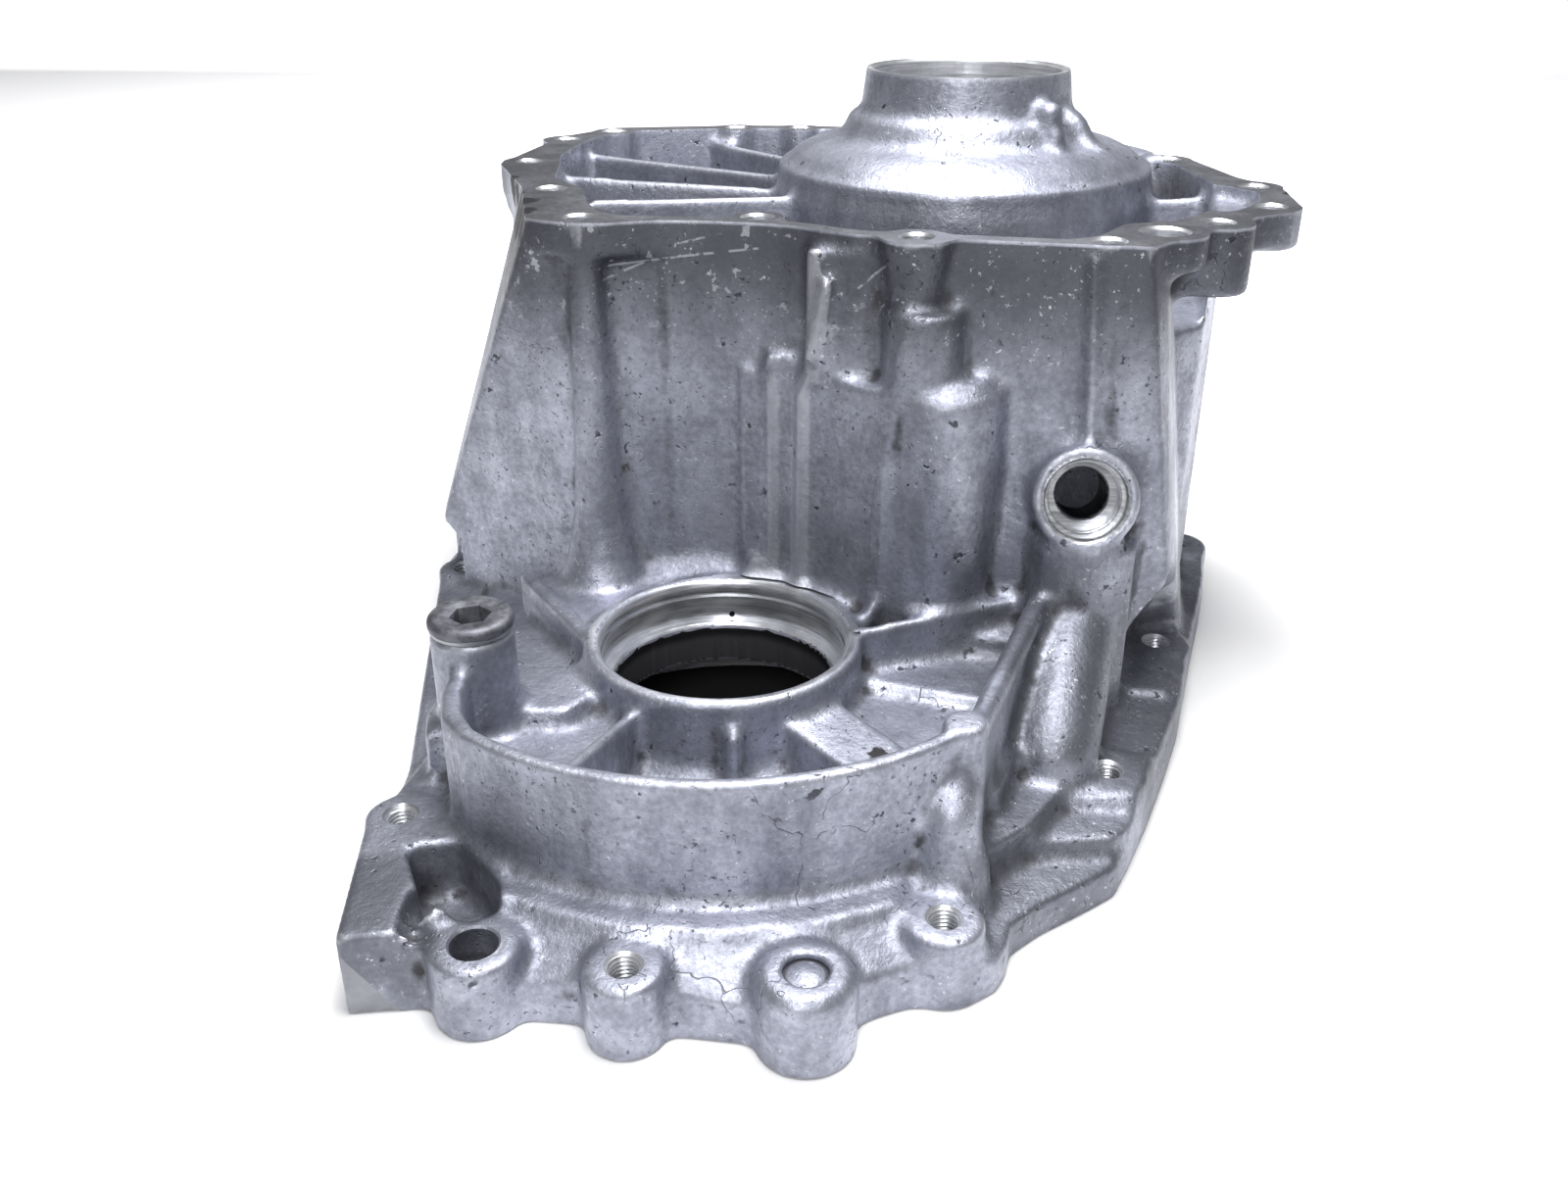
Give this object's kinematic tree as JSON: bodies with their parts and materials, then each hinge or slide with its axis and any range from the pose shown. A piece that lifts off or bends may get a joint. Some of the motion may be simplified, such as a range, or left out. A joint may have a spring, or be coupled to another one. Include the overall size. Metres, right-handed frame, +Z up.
{
  "type": "transfer case housing",
  "caption": "Cast aluminium housing half with a lower joint flange, a bearing ring in a shallow bowl, and a tall tower carrying an upper flange, a domed cover and a bearing snout.",
  "frame": {"origin": "centre of the bounding box, on the joint face", "axes": "+Z up from the joint face, parallel to both shaft axes; +Y from the front bearing ring towards the tower; +X to the right seen from the front"},
  "size_m": [0.3658, 0.493, 0.2355],
  "materials": {
    "casting": "as cast with machined faces",
    "plug": "dull grey",
    "washer": "satin"
  },
  "bodies": {
    "root": {"housing": "casting", "filler_plug": "plug", "plug_washer": "washer"}
  },
  "joints": []
}
